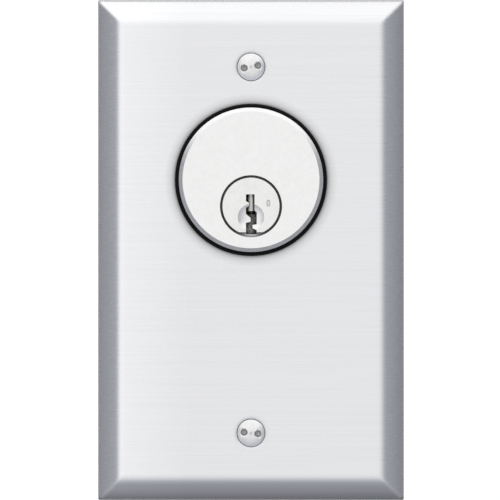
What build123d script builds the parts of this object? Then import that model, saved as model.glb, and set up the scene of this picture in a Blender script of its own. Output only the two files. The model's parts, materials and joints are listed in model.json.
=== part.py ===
"""Wall-plate key switch: a pin-tumbler mortise cylinder in a single-gang steel plate works a snap switch.

Millimetres. X is to the right seen from the front, Y runs back into the wall and Z is up.
The origin is the middle of the wall plane that the plate's rim rests on.
"""

import math
import os

from build123d import *

os.makedirs("parts", exist_ok=True)

# ---- driving dimensions: plate -------------------------------------------------
plate_width = 69.85
plate_height = 114.3
plate_depth = 5.0
sheet = 1.0
bevel_run = 5.0
bevel_radius = 16.0  # the bevel is slightly crowned
bend_radius = 2.8
mitre_radius = 0.5
box_screw_spacing = 83.34

# ---- driving dimensions: cylinder ----------------------------------------------
cylinder_z = 15.95
plug_drop = 6.01  # the plug's axis is this far below the cylinder's
barrel_radius = 14.6
barrel_length = 28.6
thread_pitch = 0.794
thread_depth = 0.45
head_radius = 16.4
head_height = 2.4
head_bevel = 0.85
gasket_radius = 17.3
gasket_height = 1.0
plug_radius = 6.35
plug_face_radius = 6.58
plug_face_height = 1.65
bore_clearance = 0.05
chamber_count = 6
chamber_pitch = 3.96
chamber_radius = 1.5
pin_radius = 1.45
chamber_floor = -2.4  # pin holes stop here, measured from the plug's axis
key_pin_lengths = (8.0, 6.5, 7.3, 5.7, 6.9, 6.1)
driver_length = 5.0
spring_wire = 0.14
key_guide_radius = 3.0
key_guide_depth = 0.8

# ---- driving dimensions: cam and switch ----------------------------------------
key_turn = 60.0  # degrees
cam_thickness = 2.4
cam_base = 7.2  # radius at rest, under the roller
cam_rise = 2.6  # linear with the key's turn
cam_gap = 0.1
roller_radius = 2.0
roller_width = 3.0
lever_length = 17.0  # pivot to roller, along X
roller_lift = 2.6  # roller centre above the lever strip's middle
strip = 0.6
lever_width = 4.4
switch_length = 27.8
switch_height = 15.9
switch_depth = 10.3
cover_thickness = 1.5
case_wall = 1.2
plunger_reach = 6.0  # from the lever's pivot
mount_hole_radius = 1.6
bracket_sheet = 1.5

# ---- places worked out from them -----------------------------------------------
plate_front = -plate_depth
plate_back = -(plate_depth - sheet)
head_base = plate_front - gasket_height
head_face = head_base - head_height
barrel_end = head_base + barrel_length
plug_z = cylinder_z - plug_drop
plug_end = barrel_end + 1.4
cam_front = plug_end
cam_back = cam_front + cam_thickness
cam_middle = (cam_front + cam_back) / 2
chamber_start = head_face + 5.8
chamber_places = [chamber_start + chamber_pitch * i for i in range(chamber_count)]
chamber_spots = [(0, y) for y in chamber_places]
chamber_middle = (chamber_places[0] + chamber_places[-1]) / 2
shear_z = plug_z + plug_radius
chamber_top = cylinder_z + 12.5

roller_z = plug_z - cam_base - cam_gap - roller_radius
lever_pivot_x = -lever_length
lever_pivot_z = roller_z - roller_lift - cam_rise
lever_rest = math.degrees(math.asin(cam_rise / lever_length))
case_top = lever_pivot_z - 1.3
case_bottom = case_top - switch_height
case_left = lever_pivot_x - 3.0
case_right = case_left + switch_length
case_front = cam_middle - switch_depth / 2
case_back = case_front + switch_depth
cover_front = case_back - cover_thickness
inner_front = case_front + case_wall
inside_middle = (inner_front + cover_front) / 2
plunger_x = lever_pivot_x + plunger_reach
mount_holes = [(case_left + 2.8, case_top - 3.1), (case_left + 25.0, case_bottom + 2.8)]
blade_z = case_top - 8.0
blade_pivot_x = plunger_x + 15.0


def upright(y):
    """The plane across the wall's normal at depth y, seen from the front: local x is X, local y is Z."""
    return Plane.XZ.offset(-y)


def axis_at(x, z):
    """A front-to-back axis."""
    return Axis((x, 0, z), (0, 1, 0))


def write(piece, label):
    piece.part.label = label
    export_step(piece.part, f"parts/{label}.step")


def rounds(plane, amount, radius, places, mode=Mode.ADD):
    """Extrudes a circle at each of these places, from this plane, in the part being made."""
    with BuildSketch(plane) as circles:
        with Locations(*places):
            Circle(radius)
    extrude(circles.sketch, amount=amount, mode=mode)


def holes(plane, amount, radius, places):
    rounds(plane, amount, radius, places, Mode.SUBTRACT)


# ---- plate ---------------------------------------------------------------------
def bevel_edge(half, y, inset):
    """Distance from the middle to the crowned bevel at depth y, or to its inner side at this inset."""
    chord = math.hypot(bevel_run, plate_depth)
    back = math.sqrt(bevel_radius**2 - (chord / 2) ** 2)
    centre_x = half - bevel_run / 2 - plate_depth / chord * back
    centre_y = -plate_depth / 2 + bevel_run / chord * back
    return centre_x + math.sqrt((bevel_radius - inset) ** 2 - (y - centre_y) ** 2)


def dished_block(inset, back):
    """The plate's outer body, or the body of its cavity: a block with four bevelled sides."""
    front = inset - plate_depth
    across = Plane(origin=(0, 0, 0), x_dir=(0, 0, 1), z_dir=(-1, 0, 0))
    with BuildPart() as block:
        with Locations((0, (front + back) / 2, 0)):
            Box(plate_width, back - front, plate_height)
        for plane, half in ((Plane.XY, plate_width / 2), (across, plate_height / 2)):
            slope = [(bevel_edge(half, y, inset), y) for y in (2, front / 2, front)]
            bend_x = slope[2][0]
            with BuildSketch(plane.offset(-plate_height)):
                with BuildLine():
                    ThreePointArc(*slope)
                    Polyline(
                        (bend_x, front),
                        (bend_x - 3, front),
                        (bend_x - 3, front - 1),
                        (half + 2, front - 1),
                        (half + 2, 2),
                        slope[0],
                    )
                make_face()
                fillet(vertices().sort_by_distance((bend_x, front))[0], bend_radius - inset / 2)
                mirror(about=Plane.YZ)
            extrude(amount=2 * plate_height, mode=Mode.SUBTRACT)
    return block


seat_radius = 3.25
neck_hole_radius = 2.05
seat_depth = 1.9
screw_places = [(0, -box_screw_spacing / 2), (0, box_screw_spacing / 2)]


def screw_seat(outer):
    """The cone of a countersunk screw seat, or of the dimple that backs it."""
    grow = 1.0 if outer else 0.0
    top = plate_back if outer else plate_front
    return [
        (0, top),
        (seat_radius + grow, top),
        (neck_hole_radius + grow, plate_front + seat_depth + grow / 2),
        (0, plate_front + seat_depth + grow / 2),
    ]


outside = dished_block(0, 0)
cavity = dished_block(sheet, 1)
with BuildPart() as face_plate:
    add(outside.part)
    slopes = [e for e in edges() if min(abs(c) for c in tuple(e % 0.5)) > 0.1]
    fillet(slopes, mitre_radius)
    add(cavity.part, mode=Mode.SUBTRACT)
    for outer, mode in ((True, Mode.ADD), (False, Mode.SUBTRACT)):
        for x, z in screw_places:
            with BuildSketch(Plane.XY.offset(z)):
                with BuildLine():
                    Polyline(*screw_seat(outer), close=True)
                make_face()
            revolve(axis=axis_at(x, z), mode=mode)
    holes(upright(0), plate_depth * 2, neck_hole_radius, screw_places)
    holes(upright(0), plate_depth * 2, barrel_radius + 0.2, [(0, cylinder_z)])
write(face_plate, "face_plate")

# ---- the two captive box screws ------------------------------------------------
thread_radius = 1.7525
screw_neck_radius = 1.45
screw_end = 20.0
spanner_hole_radius = 0.75
spanner_hole_offset = 1.62
head_gap = 0.15
dome_height = 0.75
screw_tilts = (-6, 10)  # degrees that each head stands turned

head_rim = seat_radius - head_gap
dome_radius = (head_rim**2 + dome_height**2) / (2 * dome_height)
dome_centre = plate_front - dome_height + dome_radius
dome_shoulder = (head_rim / 2, dome_centre - math.sqrt(dome_radius**2 - (head_rim / 2) ** 2))

with BuildPart() as plate_screws:
    for (x, z), tilt in zip(screw_places, screw_tilts):
        with BuildSketch(Plane.XY.offset(z)):
            with BuildLine():
                ThreePointArc((head_rim, plate_front), dome_shoulder, (0, plate_front - dome_height))
                Polyline(
                    (0, plate_front - dome_height),
                    (0, screw_end),
                    (thread_radius - 0.5, screw_end),
                    (thread_radius, screw_end - 0.6),
                    (thread_radius, 0.6),
                    (screw_neck_radius, 0.3),
                    (screw_neck_radius, plate_front + seat_depth),
                    (head_rim, plate_front),
                )
            make_face()
        revolve(axis=axis_at(x, z))
        turn = math.radians(tilt)
        offsets = (-spanner_hole_offset, spanner_hole_offset)
        eyes = [(x + d * math.cos(turn), z + d * math.sin(turn)) for d in offsets]
        holes(upright(plate_front + 0.7), plate_depth, spanner_hole_radius, eyes)
write(plate_screws, "plate_screws")

# ---- cylinder shell, its gasket, nut and washer --------------------------------
thread_start = head_base + 1.6
thread_count = int((barrel_length - 2.6) / thread_pitch)
recess_radius = plug_face_radius + 0.47
set_screw_groove = (2.4, 23, 3.0)
cover_slot_width = 3.8


def barrel_profile():
    """Half section of the head and the grooved barrel, as radius and depth."""
    points = [
        (0, head_face),
        (head_radius - head_bevel, head_face),
        (head_radius, head_face + head_bevel),
        (head_radius, head_base),
        (barrel_radius, head_base),
    ]
    for i in range(thread_count):
        y = thread_start + i * thread_pitch
        points += [
            (barrel_radius, y),
            (barrel_radius - thread_depth, y + thread_pitch * 0.4),
            (barrel_radius, y + thread_pitch * 0.8),
        ]
    points += [
        (barrel_radius, barrel_end - 0.5),
        (barrel_radius - 0.5, barrel_end),
        (0, barrel_end),
    ]
    return points


cover_slot_length = chamber_places[-1] - chamber_places[0] + 5.0
standing = (Align.CENTER, Align.CENTER, Align.MIN)
plug_centre = [(0, plug_z)]

with BuildPart() as cylinder_shell:
    with BuildSketch(Plane.XY.offset(cylinder_z)):
        with BuildLine():
            Polyline(*barrel_profile(), close=True)
        make_face()
    revolve(axis=axis_at(0, cylinder_z))
    holes(upright(head_face), -60, plug_radius + bore_clearance, plug_centre)
    holes(upright(head_face), -plug_face_height - 0.05, recess_radius, plug_centre)
    holes(Plane.XY.offset(plug_z + 1), chamber_top - plug_z - 1, chamber_radius, chamber_spots)
    with Locations((0, chamber_middle, chamber_top)):
        Box(cover_slot_width, cover_slot_length, 5, align=standing, mode=Mode.SUBTRACT)
    for side in (-1, 1):
        with Locations((side * barrel_radius, thread_start + 14, cylinder_z)):
            Box(*set_screw_groove, mode=Mode.SUBTRACT)
write(cylinder_shell, "cylinder_shell")

with BuildPart() as chamber_cover:
    with Locations((0, chamber_middle, chamber_top)):
        Box(cover_slot_width - 0.1, cover_slot_length - 0.1, 3, align=standing)
    cover_round = barrel_radius - thread_depth
    rounds(upright(head_face), -60, cover_round, [(0, cylinder_z)], Mode.INTERSECT)
write(chamber_cover, "chamber_cover")

with BuildPart() as head_gasket:
    with BuildSketch(upright(plate_front)):
        with Locations((0, cylinder_z)):
            Circle(gasket_radius)
            Circle(barrel_radius + 0.1, mode=Mode.SUBTRACT)
    extrude(amount=gasket_height)
    front_edges = head_gasket.edges().filter_by(GeomType.CIRCLE).group_by(Axis.Y)[0]
    fillet(front_edges.sort_by(SortBy.RADIUS)[-1], 0.3)
write(head_gasket, "head_gasket")

washer_front = plate_back + bracket_sheet
washer_thickness = 0.8
nut_front = washer_front + washer_thickness
nut_thickness = 4.5
nut_flats = 36.0
washer_teeth = 16

with BuildPart() as lock_washer:
    with BuildSketch(upright(washer_front)):
        with Locations((0, cylinder_z)):
            Circle(17.0)
            Circle(barrel_radius + 0.1, mode=Mode.SUBTRACT)
            with PolarLocations(barrel_radius + 0.1, washer_teeth):
                Rectangle(1.4, 1.6, mode=Mode.SUBTRACT)
    extrude(amount=-washer_thickness)
write(lock_washer, "lock_washer")

with BuildPart() as locknut:
    with BuildSketch(upright(nut_front)):
        with Locations((0, cylinder_z)):
            RegularPolygon(nut_flats / 2, 6, major_radius=False)
            Circle(barrel_radius + 0.05, mode=Mode.SUBTRACT)
    extrude(amount=-nut_thickness)
    with BuildSketch(Plane.XY.offset(cylinder_z)):
        with BuildLine():
            across_corners = nut_flats / math.sqrt(3)
            nut_back = nut_front + nut_thickness
            Polyline(
                (0, nut_front),
                (across_corners - 1.6, nut_front),
                (across_corners + 0.2, nut_front + 1.0),
                (across_corners + 0.2, nut_back - 1.0),
                (across_corners - 1.6, nut_back),
                (0, nut_back),
                close=True,
            )
        make_face()
    revolve(axis=axis_at(0, cylinder_z), mode=Mode.INTERSECT)
write(locknut, "locknut")

# ---- plug, cam and cam screws --------------------------------------------------
keyway_end = plug_end - 3.2
plug_flat = -5.9
cam_screw_offset = 4.0
cam_screw_radius = 1.25

# the warded key slot, open at the bottom, measured from the plug's axis
keyway_outline = [
    (-1.15, 2.7),
    (0.8, 2.7),
    (0.8, -0.95),
    (1.3, -1.4),
    (1.3, -4.1),
    (0.35, -4.25),
    (0.35, -5.0),
    (1.3, -5.45),
    (1.3, -8.0),
    (-1.15, -8.0),
    (-1.15, -3.75),
    (-0.1, -3.55),
    (-0.1, -2.65),
    (-1.15, -1.75),
    (-1.15, -0.35),
    (-0.45, 0.1),
    (-0.45, 0.75),
    (-1.15, 1.15),
]
cam_screw_places = [(-cam_screw_offset, plug_z), (cam_screw_offset, plug_z)]
guide_sphere = (key_guide_radius**2 + key_guide_depth**2) / (2 * key_guide_depth)
with BuildPart() as plug:
    rounds(upright(head_face), -(plug_end - head_face), plug_radius, plug_centre)
    with BuildSketch(upright(head_face)):
        with Locations((0, plug_z)):
            Circle(plug_face_radius)
    extrude(amount=-plug_face_height)
    rim_edges = plug.edges().filter_by(GeomType.CIRCLE).group_by(Axis.Y)[0]
    chamfer(rim_edges, 0.12)
    with Locations((0, head_face, plug_z + plug_flat)):
        flat_align = (Align.CENTER, Align.MIN, Align.MAX)
        Box(12, plug_face_height, 3, align=flat_align, mode=Mode.SUBTRACT)
    with BuildSketch(Plane(origin=(0, head_face, plug_z), x_dir=(1, 0, 0), z_dir=(0, -1, 0))):
        with BuildLine():
            Polyline(*keyway_outline, close=True)
        make_face()
    extrude(amount=-(keyway_end - head_face), mode=Mode.SUBTRACT)
    holes(Plane.XY.offset(plug_z + chamber_floor), 10, chamber_radius, chamber_spots)
    with Locations((0, head_face + key_guide_depth - guide_sphere, plug_z - 2.5)):
        Sphere(guide_sphere, mode=Mode.SUBTRACT)
    with BuildSketch(upright(head_face + 0.15)):
        with Locations((3.95, plug_z + 0.7)):
            SlotOverall(1.5, 0.8, rotation=90)
    extrude(amount=1, mode=Mode.SUBTRACT)
    holes(upright(plug_end), 2.8, cam_screw_radius, cam_screw_places)
write(plug, "plug")


def roller_centre(turn):
    """The roller's centre, from the plug's axis, when the key has turned this far."""
    pivot = Vector(lever_pivot_x, lever_pivot_z - plug_z)
    arm = Vector(-lever_pivot_x, roller_z - lever_pivot_z)
    return pivot + arm.rotate(Axis.Z, -lever_rest * turn / key_turn)


def cam_point(turn):
    """The flank's point that leaves the roller just clear, so that lever and key turn in proportion."""
    centre = roller_centre(turn).rotate(Axis.Z, turn)
    ahead = roller_centre(turn + 1).rotate(Axis.Z, turn + 1)
    inward = (ahead - centre).normalized().rotate(Axis.Z, 90)
    return centre + inward * (roller_radius + cam_gap)


with BuildPart() as cam:
    with BuildSketch(Plane(origin=(0, cam_front, plug_z), x_dir=(1, 0, 0), z_dir=(0, -1, 0))):
        Circle(cam_base)
        flank = [cam_point(turn) for turn in (-8, 4, 16, 28, 40, 52, 60, 66)]
        lobe_end = flank[-1].rotate(Axis.Z, 28) * 0.72
        with BuildLine():
            Spline(*flank)
            Polyline(flank[-1], lobe_end, (0, 0), flank[0])
        make_face()
        fillet(vertices().sort_by_distance((0, 0))[-1], 0.8)
    extrude(amount=-cam_thickness)
    holes(upright(cam_front), -cam_thickness, cam_screw_radius + 0.1, cam_screw_places)
write(cam, "cam")

with BuildPart() as cam_screws:
    rounds(upright(cam_back), 4.9, cam_screw_radius - 0.02, cam_screw_places)
    rounds(upright(cam_back), -1.3, 2.1, cam_screw_places)
    head_edges = cam_screws.edges().filter_by(GeomType.CIRCLE).group_by(Axis.Y)[-1]
    fillet(head_edges, 0.4)
    for x, z in cam_screw_places:
        with Locations((x, cam_back + 1.3, z)):
            Box(5, 1.2, 0.6, mode=Mode.SUBTRACT)
write(cam_screws, "cam_screws")

# ---- pin stacks ----------------------------------------------------------------
pin_top = plug_z + 6.2
driver_bottom = shear_z + 0.03
spring_bottom = driver_bottom + driver_length + 0.05
spring_top = chamber_top - 0.05
spring_turns = 8
spring_radius = 1.15

for i, (y, length) in enumerate(zip(chamber_places, key_pin_lengths), start=1):
    with BuildPart() as key_pin:
        rounds(Plane.XY.offset(pin_top), -length, pin_radius, [(0, y)])
        chamfer(key_pin.edges().group_by(Axis.Z)[0], 0.75)
    write(key_pin, f"key_pin_{i}")

    with BuildPart() as driver_pin:
        rounds(Plane.XY.offset(driver_bottom), driver_length, pin_radius, [(0, y)])
        chamfer(driver_pin.edges().group_by(Axis.Z)[-1], 0.3)
    write(driver_pin, f"driver_pin_{i}")

    spring_height = spring_top - spring_bottom - 2 * spring_wire
    with BuildPart() as pin_spring:
        with BuildLine() as coil:
            Helix(
                spring_height / spring_turns,
                spring_height,
                spring_radius,
                center=(0, y, spring_bottom + spring_wire),
            )
        with BuildSketch(Plane(origin=coil.line @ 0, z_dir=coil.line % 0)):
            Circle(spring_wire)
        sweep(is_frenet=True)
    write(pin_spring, f"pin_spring_{i}")

# ---- bracket -------------------------------------------------------------------
shelf_z = cylinder_z - nut_flats / 2 - 1.4 - bracket_sheet / 2
bracket_width = 40.0
bracket_top = cylinder_z + 19.0
bracket_front_middle = plate_back + bracket_sheet / 2
bracket_back_middle = case_front - bracket_sheet / 2

with BuildPart() as bracket:
    with BuildSketch(Plane.YZ):
        with BuildLine():
            FilletPolyline(
                (bracket_front_middle, bracket_top),
                (bracket_front_middle, shelf_z),
                (bracket_back_middle, shelf_z),
                (bracket_back_middle, case_bottom + 0.5),
                radius=1.6,
            )
        trace(line_width=bracket_sheet)
    extrude(amount=bracket_width / 2, both=True)
    holes(upright(0), 10, barrel_radius + 0.2, [(0, cylinder_z)])
    holes(upright(case_front), 4, mount_hole_radius, mount_holes)
    fillet(bracket.edges().filter_by(Axis.Y).group_by(Axis.Z)[-1], 6)
    fillet(bracket.edges().filter_by(Axis.Y).group_by(Axis.Z)[0], 3)
write(bracket, "bracket")

# ---- snap switch ---------------------------------------------------------------
terminal_width = 4.75
terminal_thickness = 0.8
terminal_end = case_bottom - 7.7
nc_x = case_left + 1.7
no_x = case_left + 9.6
com_x = case_left + 19.2
terminal_places = (nc_x, no_x, com_x)
pivot_pin_radius = 0.55
eye_radius = 1.1
ear_gap = lever_width + 0.4
ear_thickness = 1.2
boss_radius = 2.6
plunger_radius = 1.2


def terminal_tail(x, top):
    """A tab from this height down through the case's floor, with a latch hole near its end."""
    with Locations((x, inside_middle, (top + terminal_end) / 2)):
        Box(terminal_thickness, terminal_width, top - terminal_end)
    holes(Plane.YZ.offset(x - 2), 4, 0.7, [(inside_middle, terminal_end + 3.2)])


pivot_place = [(lever_pivot_x, lever_pivot_z)]
plunger_hole = [(plunger_x, inside_middle)]

with BuildPart() as switch_case:
    case_middle_x = (case_left + case_right) / 2
    case_middle_z = (case_top + case_bottom) / 2
    with BuildSketch(upright(case_front)):
        with Locations((case_middle_x, case_middle_z)):
            RectangleRounded(switch_length, switch_height, 0.8)
    extrude(amount=-(cover_front - case_front))
    with BuildSketch(upright(inner_front)):
        with Locations((case_middle_x, case_middle_z)):
            Rectangle(switch_length - 2 * case_wall, switch_height - 2 * case_wall)
        with Locations(*mount_holes):
            Circle(boss_radius, mode=Mode.SUBTRACT)
    extrude(amount=-10, mode=Mode.SUBTRACT)
    ear_root = case_top - 0.5
    for side in (-1, 1):
        ear_middle = cam_middle + side * (ear_gap + ear_thickness) / 2
        with BuildSketch(upright(ear_middle)):
            with Locations((lever_pivot_x, lever_pivot_z)):
                Circle(1.5)
            with Locations((lever_pivot_x, (ear_root + lever_pivot_z) / 2)):
                Rectangle(3.0, lever_pivot_z - ear_root)
        extrude(amount=ear_thickness / 2, both=True)
    holes(upright(0), -60, pivot_pin_radius + 0.03, pivot_place)
    holes(upright(0), -60, mount_hole_radius, mount_holes)
    holes(Plane.XY.offset(case_top + 1), -3, plunger_radius + 0.06, plunger_hole)
    for x in terminal_places:
        with Locations((x, inside_middle, case_bottom)):
            Box(terminal_thickness + 0.1, terminal_width + 0.1, 3 * case_wall, mode=Mode.SUBTRACT)
write(switch_case, "switch_case")

with BuildPart() as switch_cover:
    with BuildSketch(upright(cover_front)):
        with Locations((case_middle_x, case_middle_z)):
            RectangleRounded(switch_length, switch_height, 0.8)
    extrude(amount=-cover_thickness)
    chamfer(switch_cover.edges().group_by(Axis.Y)[-1], 0.3)
    holes(upright(0), -60, mount_hole_radius, mount_holes)
write(switch_cover, "switch_cover")

lever_angle = math.radians(lever_rest)
lever_plane = Plane(
    origin=(lever_pivot_x, cam_middle, lever_pivot_z),
    x_dir=(math.cos(lever_angle), 0, math.sin(lever_angle)),
    z_dir=(0, -1, 0),
)
roller_local = Vector(-lever_pivot_x, roller_z - lever_pivot_z).rotate(Axis.Z, -lever_rest)

with BuildPart() as switch_lever:
    with BuildSketch(lever_plane):
        Circle(eye_radius)
        strip_length = roller_local.X + 1.9
        with Locations((strip_length / 2, 0)):
            Rectangle(strip_length, strip)
        Circle(pivot_pin_radius + 0.05, mode=Mode.SUBTRACT)
    extrude(amount=lever_width / 2, both=True)
    for side in (-1, 1):
        with BuildSketch(lever_plane.offset(side * (lever_width / 2 - strip / 2))):
            with Locations((roller_local.X, roller_local.Y)):
                Circle(1.5)
            with Locations((roller_local.X, roller_local.Y / 2)):
                Rectangle(3.0, roller_local.Y)
        extrude(amount=strip / 2, both=True)
    with BuildSketch(lever_plane):
        with Locations((roller_local.X, roller_local.Y)):
            Circle(0.8)
    extrude(amount=10, both=True, mode=Mode.SUBTRACT)
write(switch_lever, "switch_lever")

with BuildPart() as lever_pin:
    pin_half = ear_gap / 2 + ear_thickness
    rounds(upright(cam_middle + pin_half), 2 * pin_half, pivot_pin_radius, pivot_place)
write(lever_pin, "lever_pin")

with BuildPart() as roller:
    roller_place = [(0, roller_z)]
    roller_back = upright(cam_middle + roller_width / 2)
    rounds(roller_back, roller_width, roller_radius, roller_place)
    chamfer(roller.edges().filter_by(GeomType.CIRCLE), 0.25)
    holes(upright(0), -60, 0.8, roller_place)
write(roller, "roller")

with BuildPart() as roller_pin:
    pin_half = lever_width / 2 + 0.1
    rounds(upright(cam_middle + pin_half), 2 * pin_half, 0.75, roller_place)
write(roller_pin, "roller_pin")

blade_half = 0.15
blade_width = 4.0
contact_radius = 1.2
contact_height = 0.5
blade_tip_x = blade_pivot_x - 20.0
contact_x = blade_tip_x + 1.4
blade_travel = math.tan(lever_angle) * plunger_reach / 15.0 * (blade_pivot_x - contact_x)

lever_underside = plunger_reach * math.tan(lever_angle) - strip / 2 / math.cos(lever_angle)
plunger_top = lever_pivot_z + lever_underside - 0.2

with BuildPart() as plunger:
    collar_top = case_top - case_wall - 0.1
    plunger_end = blade_z + blade_half + 0.12
    with BuildSketch(Plane.XY.offset(plunger_end)):
        with Locations((plunger_x, inside_middle)):
            Circle(plunger_radius)
    extrude(amount=plunger_top - plunger_end)
    fillet(plunger.edges().group_by(Axis.Z)[-1], 0.8)
    fillet(plunger.edges().group_by(Axis.Z)[0], 0.4)
    rounds(Plane.XY.offset(collar_top), -0.9, 1.9, plunger_hole)
write(plunger, "plunger")

with BuildPart() as contact_blade:
    eye_outer = 0.9
    with BuildSketch(upright(inside_middle)):
        with Locations((blade_pivot_x, blade_z)):
            Circle(eye_outer)
        with Locations(((blade_tip_x + blade_pivot_x) / 2, blade_z)):
            Rectangle(20.0, 2 * blade_half)
        with Locations((blade_pivot_x, blade_z)):
            Circle(0.5, mode=Mode.SUBTRACT)
    extrude(amount=blade_width / 2, both=True)
    contact_bottom = Plane.XY.offset(blade_z - blade_half - contact_height)
    contact_place = [(contact_x, inside_middle)]
    through = 2 * (blade_half + contact_height)
    rounds(contact_bottom, through, contact_radius, contact_place)
write(contact_blade, "contact_blade")

arm_height = 0.8
nc_face = blade_z + blade_half + contact_height + 0.05
no_face = blade_z - blade_half - contact_height - blade_travel - 0.1
arm_end_x = contact_x + 1.3

with BuildPart() as nc_terminal:
    terminal_tail(nc_x, nc_face + 0.5 + arm_height)
    arm_x = (nc_x + arm_end_x) / 2
    with Locations((arm_x, inside_middle, nc_face + 0.5 + arm_height / 2)):
        Box(arm_end_x - nc_x, terminal_width, arm_height)
    rounds(Plane.XY.offset(nc_face), 0.6, contact_radius, contact_place)
write(nc_terminal, "nc_terminal")

with BuildPart() as no_terminal:
    terminal_tail(no_x, no_face - 0.5)
    arm_start_x = contact_x - 1.3
    with Locations(((arm_start_x + no_x) / 2, inside_middle, no_face - 0.5 - arm_height / 2)):
        Box(no_x - arm_start_x + terminal_thickness, terminal_width, arm_height)
    rounds(Plane.XY.offset(no_face - 0.6), 0.6, contact_radius, contact_place)
write(no_terminal, "no_terminal")

with BuildPart() as com_terminal:
    foot_z = blade_z - eye_outer - 0.5
    terminal_tail(com_x, foot_z)
    foot_end = blade_pivot_x + 1.0
    with Locations(((com_x + foot_end) / 2, inside_middle, foot_z - arm_height / 2)):
        Box(foot_end - com_x + terminal_thickness, blade_width + 2.2, arm_height)
    for side in (-1, 1):
        cheek_y = inside_middle + side * (blade_width / 2 + 0.7)
        with Locations((blade_pivot_x, cheek_y, (foot_z + blade_z) / 2)):
            Box(2.0, 0.8, blade_z - foot_z + 1.8)
    pivot_half = blade_width / 2 + 0.9
    blade_pivot_place = [(blade_pivot_x, blade_z)]
    pivot_back = upright(inside_middle + pivot_half)
    rounds(pivot_back, 2 * pivot_half, 0.45, blade_pivot_place)
write(com_terminal, "com_terminal")

with BuildPart() as blade_spring:
    blade_spring_x = plunger_x + 4.6
    floor_z = case_bottom + case_wall
    rise = blade_z - blade_half - floor_z - 0.1 - 2 * 0.2
    with BuildLine() as coil:
        Helix(rise / 7, rise, 1.3, center=(blade_spring_x, inside_middle, floor_z + 0.25))
    with BuildSketch(Plane(origin=coil.line @ 0, z_dir=coil.line % 0)):
        Circle(0.2)
    sweep(is_frenet=True)
write(blade_spring, "blade_spring")

# ---- switch fasteners ----------------------------------------------------------
fixing_radius = 1.45
fixing_head = case_front - bracket_sheet
fixing_end = case_back + 2.9

with BuildPart() as switch_screws:
    length = fixing_end - fixing_head
    rounds(upright(fixing_end), length, fixing_radius, mount_holes)
    rounds(upright(fixing_head), 1.9, 2.8, mount_holes)
    fillet(switch_screws.edges().filter_by(GeomType.CIRCLE).group_by(Axis.Y)[0], 0.7)
    for x, z in mount_holes:
        with Locations((x, fixing_head - 1.9, z)):
            Box(3.6, 2.0, 0.7, mode=Mode.SUBTRACT)
            Box(0.7, 2.0, 3.6, mode=Mode.SUBTRACT)
write(switch_screws, "switch_screws")

with BuildPart() as switch_nuts:
    with BuildSketch(upright(case_back)):
        with Locations(*mount_holes):
            RegularPolygon(2.75, 6, major_radius=False)
            Circle(fixing_radius + 0.05, mode=Mode.SUBTRACT)
    extrude(amount=-2.4)
write(switch_nuts, "switch_nuts")
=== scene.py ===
"""Finishes and lights the wall-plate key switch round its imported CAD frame.

Metres, with Z up. The front of the plate faces -Y.
"""

import json
import math

import bmesh
import bpy
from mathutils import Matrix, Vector


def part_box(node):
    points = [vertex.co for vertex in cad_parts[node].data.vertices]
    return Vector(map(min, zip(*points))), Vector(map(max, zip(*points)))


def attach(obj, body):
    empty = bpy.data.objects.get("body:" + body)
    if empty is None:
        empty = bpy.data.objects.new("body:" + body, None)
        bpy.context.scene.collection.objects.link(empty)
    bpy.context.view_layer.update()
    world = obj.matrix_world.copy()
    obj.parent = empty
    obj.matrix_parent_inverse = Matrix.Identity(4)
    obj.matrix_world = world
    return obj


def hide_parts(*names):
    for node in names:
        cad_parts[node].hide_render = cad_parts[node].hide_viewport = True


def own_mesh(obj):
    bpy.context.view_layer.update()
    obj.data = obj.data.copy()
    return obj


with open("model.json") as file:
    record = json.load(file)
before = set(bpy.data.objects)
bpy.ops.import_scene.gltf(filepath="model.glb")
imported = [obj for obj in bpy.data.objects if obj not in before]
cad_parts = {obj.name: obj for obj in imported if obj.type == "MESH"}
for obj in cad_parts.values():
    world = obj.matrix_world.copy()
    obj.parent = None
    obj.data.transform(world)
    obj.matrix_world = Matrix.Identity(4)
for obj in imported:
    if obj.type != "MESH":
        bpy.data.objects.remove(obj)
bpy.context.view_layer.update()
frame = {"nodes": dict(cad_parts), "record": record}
MM = 0.001

# Noise mostly lies between these, so textures are stretched from them.
NOISE_LOW = 0.3
NOISE_HIGH = 0.7
NOISE_DETAIL = 3.0
NOISE_ROUGHNESS = 0.55
# samples for the painted shade in gaps and corners
PAINTED_SHADE_SAMPLES = 12
EDGE_SAMPLES = 6
METAL_RELIEF = 0.004 * MM
PLASTIC_RELIEF = 0.01 * MM

# Cycles of texture per metre along X, Y and Z.
ACROSS = (25, 700, 5200)  # long grain along X
TURNED = (900, 900, 900)
DRAWN = (60, 900, 900)
COATED = (300, 300, 300)
FINE = (2500, 2500, 2500)
BROAD = (3, 3, 3)


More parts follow.
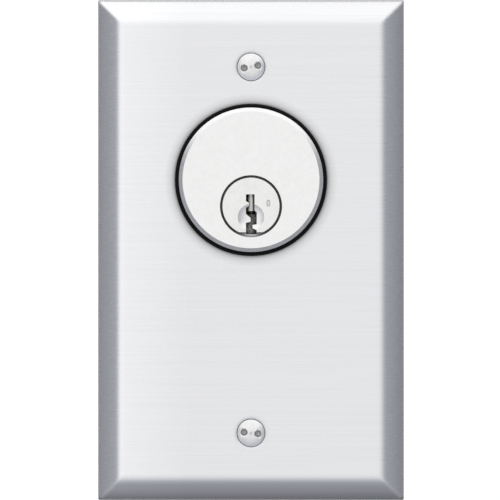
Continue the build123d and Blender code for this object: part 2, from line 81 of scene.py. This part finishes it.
# ---- shader helpers --------------------------------------------------------------
class Shader:
    """A material made of one Principled surface and the textures that feed it."""

    def __init__(self, name):
        self.material = bpy.data.materials.new(name)
        self.material.use_nodes = True
        self.tree = self.material.node_tree
        self.surface = self.tree.nodes["Principled BSDF"]

    def add(self, kind, **settings):
        made = self.tree.nodes.new(kind)
        for key, value in settings.items():
            setattr(made, key, value)
        return made

    def join(self, source, target):
        self.tree.links.new(source, target)

    def noise(self, scale):
        """Noise in the object's own metres, with cycles per metre for each axis."""
        place = self.add("ShaderNodeTexCoord")
        mapping = self.add("ShaderNodeMapping")
        mapping.inputs["Scale"].default_value = scale
        texture = self.add("ShaderNodeTexNoise")
        texture.inputs["Scale"].default_value = 1.0
        texture.inputs["Detail"].default_value = NOISE_DETAIL
        texture.inputs["Roughness"].default_value = NOISE_ROUGHNESS
        self.join(place.outputs["Object"], mapping.inputs["Vector"])
        self.join(mapping.outputs["Vector"], texture.inputs["Vector"])
        return texture.outputs["Fac"]

    def spread(self, value, low, high, start=NOISE_LOW, end=NOISE_HIGH):
        """Maps a texture's start..end to low..high."""
        ranged = self.add("ShaderNodeMapRange")
        ranged.inputs["From Min"].default_value = start
        ranged.inputs["From Max"].default_value = end
        ranged.inputs["To Min"].default_value = low
        ranged.inputs["To Max"].default_value = high
        self.join(value, ranged.inputs["Value"])
        return ranged.outputs["Result"]

    def tint(self, value, dark, light, painted_shade_reach=0.0, depth=2.0):
        """Base colour between two colours, by a texture.

        Painted shade: gaps and corners within the given reach darken in the base colour, the
        more so the greater the depth.
        """
        mixed = self.add("ShaderNodeMix", data_type="RGBA")
        mixed.inputs["A"].default_value = (*dark, 1)
        mixed.inputs["B"].default_value = (*light, 1)
        self.join(self.spread(value, 0.0, 1.0), mixed.inputs["Factor"])
        colour = mixed.outputs["Result"]
        # painted shade: ambient occlusion darkens the base colour in gaps and corners
        if painted_shade_reach:
            open_share = self.add("ShaderNodeAmbientOcclusion", samples=PAINTED_SHADE_SAMPLES)
            open_share.inputs["Distance"].default_value = painted_shade_reach
            shade = self.add("ShaderNodeMath", operation="POWER")
            shade.inputs[1].default_value = depth
            self.join(open_share.outputs["AO"], shade.inputs[0])
            shaded = self.add("ShaderNodeMix", data_type="RGBA", blend_type="MULTIPLY")
            shaded.inputs["Factor"].default_value = 1.0
            self.join(colour, shaded.inputs["A"])
            self.join(shade.outputs["Value"], shaded.inputs["B"])
            colour = shaded.outputs["Result"]
        self.join(colour, self.surface.inputs["Base Color"])

    def fade(self, start, end, level):
        """Painted light: multiplies the base colour along the object's X, from level at start to
        one at end.
        """
        place = self.add("ShaderNodeTexCoord")
        parts = self.add("ShaderNodeSeparateXYZ")
        self.join(place.outputs["Object"], parts.inputs["Vector"])
        share = self.spread(parts.outputs["X"], level, 1.0, start, end)
        colour = self.surface.inputs["Base Color"].links[0].from_socket
        painted_lit = self.add("ShaderNodeMix", data_type="RGBA", blend_type="MULTIPLY")
        painted_lit.inputs["Factor"].default_value = 1.0
        self.join(colour, painted_lit.inputs["A"])
        self.join(share, painted_lit.inputs["B"])
        self.join(painted_lit.outputs["Result"], self.surface.inputs["Base Color"])

    def roughen(self, value, low, high):
        self.join(self.spread(value, low, high), self.surface.inputs["Roughness"])

    def bump(self, value, distance, edge=0.0):
        """Fine relief; edge rounds sharp corners' shading by that radius."""
        relief = self.add("ShaderNodeBump")
        relief.inputs["Distance"].default_value = distance
        self.join(value, relief.inputs["Height"])
        if edge:
            rounded = self.add("ShaderNodeBevel", samples=EDGE_SAMPLES)
            rounded.inputs["Radius"].default_value = edge
            self.join(rounded.outputs["Normal"], relief.inputs["Normal"])
        self.join(relief.outputs["Normal"], self.surface.inputs["Normal"])


def metal(name, dark, light, rough, grain, edge=0.0, painted_shade_reach=0.0, depth=2.0, fade=None):
    """Worked metal: colour, gloss and fine relief all follow one grain."""
    made = Shader(name)
    made.surface.inputs["Metallic"].default_value = 1.0
    lines = made.noise(grain)
    # the base colour may carry painted shade in gaps and corners
    made.tint(lines, dark, light, painted_shade_reach, depth)
    # painted light: the base colour may brighten along X
    if fade:
        made.fade(*fade)
    made.roughen(lines, *rough)
    made.bump(lines, METAL_RELIEF, edge=edge)
    return made.material


def plastic(name, dark, light, rough, grain=FINE, gloss=0.5):
    """Moulded plastic or rubber with a fine, even texture."""
    made = Shader(name)
    made.surface.inputs["Specular IOR Level"].default_value = gloss
    texture = made.noise(grain)
    made.tint(texture, dark, light)
    made.roughen(texture, *rough)
    made.bump(texture, PLASTIC_RELIEF)
    return made.material


# ---- materials -------------------------------------------------------------------
finishes = {
    "plate": metal(
        "brushed_plate",
        dark=(0.785, 0.788, 0.803),
        light=(0.855, 0.858, 0.873),
        rough=(0.24, 0.34),
        grain=ACROSS,
        edge=1.3 * MM,
        # painted shade in corners and round the cylinder head
        painted_shade_reach=2.5 * MM,
        # painted light: the base colour brightens towards the plate's left edge
        fade=(-31 * MM, -14 * MM, 1.1),
    ),
    "screw_steel": metal(
        "screw_steel",
        dark=(0.78, 0.78, 0.78),
        light=(0.86, 0.86, 0.86),
        rough=(0.2, 0.3),
        grain=TURNED,
        # painted shade in gaps and holes
        painted_shade_reach=0.8 * MM,
        depth=1.0,
    ),
    "shell": metal(
        "satin_chrome",
        dark=(0.87, 0.87, 0.865),
        light=(0.93, 0.93, 0.925),
        rough=(0.26, 0.34),
        grain=TURNED,
        # painted shade in gaps and recesses
        painted_shade_reach=1.2 * MM,
    ),
    "plug": metal(
        "plug_chrome",
        dark=(0.82, 0.82, 0.81),
        light=(0.9, 0.9, 0.89),
        rough=(0.24, 0.32),
        grain=TURNED,
        # painted shade in the keyway and the gap round the plug
        painted_shade_reach=1.2 * MM,
    ),
    "brass": metal(
        "brass",
        dark=(0.72, 0.5, 0.2),
        light=(0.85, 0.64, 0.3),
        rough=(0.22, 0.36),
        grain=TURNED,
    ),
    "pin_steel": metal(
        "nickel_silver",
        dark=(0.6, 0.59, 0.55),
        light=(0.74, 0.73, 0.69),
        rough=(0.2, 0.32),
        grain=TURNED,
    ),
    "spring_wire": metal(
        "spring_wire",
        dark=(0.45, 0.45, 0.46),
        light=(0.62, 0.62, 0.63),
        rough=(0.25, 0.4),
        grain=TURNED,
    ),
    "zinc_plate": metal(
        "zinc_plate",
        dark=(0.5, 0.52, 0.54),
        light=(0.66, 0.67, 0.68),
        rough=(0.28, 0.45),
        grain=COATED,
    ),
    "contact_metal": metal(
        "spring_brass",
        dark=(0.66, 0.46, 0.24),
        light=(0.8, 0.6, 0.36),
        rough=(0.2, 0.35),
        grain=DRAWN,
    ),
    # partly black rubber, partly painted shadow: made near black so the gasket also stands in
    # for the dark ring of shade round the cylinder head
    "gasket": plastic(
        "black_rubber_painted_shadow",
        dark=(0.004, 0.004, 0.004),
        light=(0.008, 0.008, 0.008),
        rough=(0.6, 0.75),
        gloss=0.1,
    ),
    "case_plastic": plastic(
        "case_plastic",
        dark=(0.018, 0.018, 0.02),
        light=(0.03, 0.03, 0.032),
        rough=(0.4, 0.55),
    ),
    "cover_plastic": plastic(
        "cover_plastic",
        dark=(0.024, 0.024, 0.026),
        light=(0.04, 0.04, 0.042),
        rough=(0.35, 0.5),
    ),
    "plunger_plastic": plastic(
        "plunger_plastic",
        dark=(0.5, 0.03, 0.02),
        light=(0.6, 0.05, 0.03),
        rough=(0.3, 0.4),
    ),
    "roller_plastic": plastic(
        "roller_plastic",
        dark=(0.72, 0.7, 0.62),
        light=(0.8, 0.78, 0.7),
        rough=(0.3, 0.42),
    ),
}

slots = {part["node"]: part["material_slot"] for part in frame["record"]["subparts"]}
for node, obj in frame["nodes"].items():
    obj.data.materials.clear()
    obj.data.materials.append(finishes[slots[node]])


# ---- box screws with a real thread -----------------------------------------------
THREAD_RADIUS = 1.7525 * MM
THREAD_ROOT = 1.35 * MM
THREAD_PITCH = 0.794 * MM
THREAD_TURN_STEPS = 40
THREAD_PITCH_STEPS = 10
THREAD_FADE = 1.5 * THREAD_PITCH
CREST_FLAT = 1.25  # above one, this cuts the crests flat
NECK_END = 0.2 * MM  # the CAD head is kept to here
WELD_REACH = 0.00001 * MM
SHARP_ANGLE = 32


def thread_radius(turns, along, length):
    """Radius of the thread's surface: a vee that fades in from the neck and out at the point."""
    phase = (along / THREAD_PITCH - turns) % 1.0
    crest = 1.0 - abs(2.0 * phase - 1.0)
    fade_in = min(1.0, along / THREAD_FADE)
    fade_out = min(1.0, (length - along) / THREAD_FADE)
    depth = (THREAD_RADIUS - THREAD_ROOT) * min(1.0, crest * CREST_FLAT)
    return THREAD_ROOT + depth * max(0.0, min(fade_in, fade_out))


def add_thread(mesh, centre, start, end):
    """A closed threaded rod along Y, added to a bmesh."""
    length = end - start
    rings = []
    count = int(length / THREAD_PITCH * THREAD_PITCH_STEPS)
    for i in range(count + 1):
        along = length * i / count
        ring = []
        for k in range(THREAD_TURN_STEPS):
            turns = k / THREAD_TURN_STEPS
            radius = thread_radius(turns, along, length)
            angle = 2 * math.pi * turns
            x = centre.x + radius * math.cos(angle)
            z = centre.z + radius * math.sin(angle)
            ring.append(mesh.verts.new((x, start + along, z)))
        rings.append(ring)
    for near, far in zip(rings, rings[1:]):
        for k in range(THREAD_TURN_STEPS):
            n = (k + 1) % THREAD_TURN_STEPS
            mesh.faces.new((near[k], near[n], far[n], far[k]))
    mesh.faces.new(rings[0][::-1])
    mesh.faces.new(rings[-1])


def make_plate_screws():
    """The CAD screw heads on threaded rods."""
    source = frame["nodes"]["plate_screws"]
    low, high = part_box("plate_screws")
    head_radius = (high.x - low.x) / 2
    mesh = bmesh.new()
    mesh.from_mesh(source.data)
    bmesh.ops.remove_doubles(mesh, verts=mesh.verts, dist=WELD_REACH)
    everything = mesh.verts[:] + mesh.edges[:] + mesh.faces[:]
    cut = bmesh.ops.bisect_plane(
        mesh, geom=everything, plane_co=(0, NECK_END, 0), plane_no=(0, 1, 0), clear_outer=True
    )
    rim = [e for e in cut["geom_cut"] if isinstance(e, bmesh.types.BMEdge)]
    bmesh.ops.holes_fill(mesh, edges=rim, sides=0)
    for z in (low.z + head_radius, high.z - head_radius):
        add_thread(mesh, Vector((0, 0, z)), 0, high.y)
    bmesh.ops.recalc_face_normals(mesh, faces=mesh.faces)
    data = bpy.data.meshes.new("plate_screws_threaded")
    mesh.to_mesh(data)
    mesh.free()
    obj = bpy.data.objects.new("plate_screws_threaded", data)
    bpy.context.scene.collection.objects.link(obj)
    data.materials.append(finishes["screw_steel"])
    data.shade_smooth()
    data.set_sharp_from_angle(angle=math.radians(SHARP_ANGLE))
    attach(obj, "housing")
    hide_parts("plate_screws")


make_plate_screws()


def make_spring(node):
    """A copy of a coil, attached to the housing in place of the CAD part."""
    obj = bpy.data.objects.new(f"{node}_coil", frame["nodes"][node].data.copy())
    bpy.context.scene.collection.objects.link(obj)
    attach(obj, "housing")
    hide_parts(node)
    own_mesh(obj)


for number in range(1, 7):
    make_spring(f"pin_spring_{number}")
make_spring("blade_spring")


# ---- floor, light and camera ------------------------------------------------------
def make_floor():
    """A pale floor well below the plate, kept out of the metal's reflections."""
    drop = 0.3
    reach = 1.0
    data = bpy.data.meshes.new("floor")
    turns = ((-1, -1), (1, -1), (1, 1), (-1, 1))
    data.from_pydata([(x * reach, y * reach, -drop) for x, y in turns], [], [(0, 1, 2, 3)])
    floor = bpy.data.objects.new("floor", data)
    bpy.context.scene.collection.objects.link(floor)
    pale = plastic("pale_floor", (0.78, 0.78, 0.77), (0.82, 0.82, 0.81), (0.7, 0.8), BROAD)
    data.materials.append(pale)
    floor.visible_glossy = False


def make_world():
    """A soft studio by direction: bright ahead and above, dim at the sides and dark below.

    Each ramp's stops are degrees away from straight ahead, brightness and tint.
    """
    world = bpy.data.worlds.new("studio")
    bpy.context.scene.world = world
    world.use_nodes = True
    tree = world.node_tree
    tree.nodes.clear()
    new = tree.nodes.new
    link = tree.links.new

    def ramp(stops):
        """Brightness by how far a direction turns away, 0 straight ahead to 1 behind."""
        made = new("ShaderNodeValToRGB")
        made.color_ramp.interpolation = "EASE"
        elements = made.color_ramp.elements
        while len(elements) < len(stops):
            elements.new(0.5)
        for element, (degrees, level, tint) in zip(elements, stops):
            element.position = degrees / 180
            element.color = (level * tint[0], level * tint[1], level * tint[2], 1)
        return made

    plain = (1, 1, 1)
    cool = (0.95, 0.97, 1.06)
    left = ramp(
        [
            (0, 1.0, plain),
            (15, 1.07, plain),
            (40, 1.0, plain),
            (55, 0.6, cool),
            (68, 0.42, cool),
            (95, 0.33, cool),
            (125, 0.26, cool),
            (160, 0.8, plain),
        ]
    )
    right = ramp(
        [
            (0, 1.0, plain),
            (15, 0.95, plain),
            (30, 0.85, plain),
            (45, 0.65, cool),
            (60, 0.45, cool),
            (68, 0.41, cool),
            (125, 0.26, cool),
            (160, 0.8, plain),
        ]
    )
    above = ramp(
        [
            (0, 1.0, plain),
            (60, 1.15, plain),
            (112, 1.2, plain),
            (125, 0.8, plain),
            (160, 0.9, plain),
        ]
    )
    below = ramp(
        [
            (0, 1.0, plain),
            (25, 0.9, plain),
            (45, 0.7, cool),
            (60, 0.52, cool),
            (70, 0.44, cool),
            (90, 0.32, cool),
            (120, 0.15, cool),
            (160, 0.5, plain),
        ]
    )

    place = new("ShaderNodeTexCoord")
    parts = new("ShaderNodeSeparateXYZ")
    link(place.outputs["Generated"], parts.inputs[0])

    def calc(kind, a, b=None):
        made = new("ShaderNodeMath")
        made.operation = kind
        for socket, value in zip(made.inputs, (a, b)):
            if value is None:
                continue
            if isinstance(value, (int, float)):
                socket.default_value = value
            else:
                link(value, socket)
        return made.outputs[0]

    above_zero = 0.0001
    ahead = calc("MULTIPLY", parts.outputs["Y"], -1.0)
    turned = calc("DIVIDE", calc("ARCCOSINE", ahead), math.pi)
    across = calc("POWER", parts.outputs["X"], 2.0)
    upward = calc("POWER", parts.outputs["Z"], 2.0)
    reach = calc("SQRT", calc("ADD", calc("ADD", across, upward), above_zero))
    lift = calc("DIVIDE", parts.outputs["Z"], reach)
    aside = calc("DIVIDE", parts.outputs["X"], reach)
    for made in (left, right, above, below):
        link(turned, made.inputs["Fac"])

    def weight(value, low, high):
        """A smooth step from 0 at low to 1 at high."""
        made = new("ShaderNodeMapRange")
        made.interpolation_type = "SMOOTHSTEP"
        made.inputs["From Min"].default_value = low
        made.inputs["From Max"].default_value = high
        link(value, made.inputs["Value"])
        return made.outputs["Result"]

    def blend(factor, a, b):
        made = new("ShaderNodeMix")
        made.data_type = "RGBA"
        link(factor, made.inputs["Factor"])
        link(a, made.inputs["A"])
        link(b, made.inputs["B"])
        return made.outputs["Result"]

    sides = blend(weight(aside, -0.6, 0.6), left.outputs["Color"], right.outputs["Color"])
    sky = blend(weight(lift, 0.25, 0.8), sides, above.outputs["Color"])
    surround = blend(weight(lift, -0.25, -0.8), sky, below.outputs["Color"])

    light = new("ShaderNodeBackground")
    link(surround, light.inputs["Color"])
    backdrop = new("ShaderNodeBackground")
    backdrop.inputs["Color"].default_value = (1, 1, 1, 1)
    backdrop.inputs["Strength"].default_value = 1.05
    rays = new("ShaderNodeLightPath")
    mixed = new("ShaderNodeMixShader")
    link(rays.outputs["Is Camera Ray"], mixed.inputs["Fac"])
    link(light.outputs[0], mixed.inputs[1])
    link(backdrop.outputs[0], mixed.inputs[2])
    output = new("ShaderNodeOutputWorld")
    link(mixed.outputs[0], output.inputs["Surface"])


def make_camera():
    """Straight ahead, framing the plate from its top edge to its bottom edge."""
    low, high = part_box("face_plate")
    distance = 1.2
    sensor_width = 36.0
    data = bpy.data.cameras.new("camera")
    camera = bpy.data.objects.new("camera", data)
    bpy.context.scene.collection.objects.link(camera)
    camera.location = (0, -distance, 0)
    camera.rotation_euler = (math.radians(90), 0, 0)
    data.sensor_width = sensor_width
    data.lens = sensor_width * distance / (high.z - low.z)
    data.shift_x = -0.002
    data.clip_start = 10 * MM
    bpy.context.scene.camera = camera
    bpy.context.scene.view_settings.view_transform = "Standard"


make_floor()
make_world()
make_camera()
